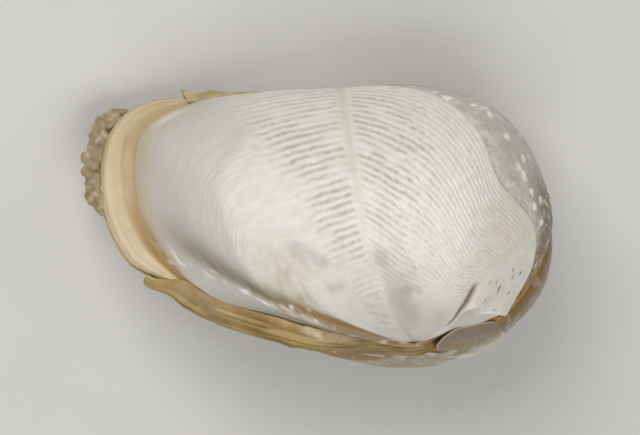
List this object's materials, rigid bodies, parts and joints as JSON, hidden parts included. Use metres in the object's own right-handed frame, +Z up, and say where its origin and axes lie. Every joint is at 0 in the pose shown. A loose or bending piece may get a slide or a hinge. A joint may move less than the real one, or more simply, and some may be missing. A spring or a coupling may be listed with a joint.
{
  "type": "angel wing clam shell",
  "caption": "Closed boring clam shell with ridged white valves, grey front plates, horny seam strips and a knobbly siphon tip, lying on its right valve",
  "frame": {"origin": "middle of the part's outline seen from above, on the floor it rests on", "axes": "+X towards the front end, +Y towards the lower edge of the valves, +Z up; the shell lies on its right valve"},
  "size_m": [0.041, 0.0256, 0.025],
  "materials": {
    "valve": "chalky",
    "callum": "translucent satin",
    "collar": "satin",
    "seam_strip": "satin",
    "beak_plate": "satin",
    "membrane": "satin",
    "siphon": "matt"
  },
  "bodies": {
    "root": {"left_valve": "valve", "right_valve": "valve", "left_callum": "callum", "right_callum": "callum", "left_siphonoplax": "collar", "right_siphonoplax": "collar", "metaplax": "seam_strip", "hypoplax": "seam_strip", "mesoplax": "beak_plate", "membrane": "membrane", "siphon": "siphon"}
  },
  "joints": []
}
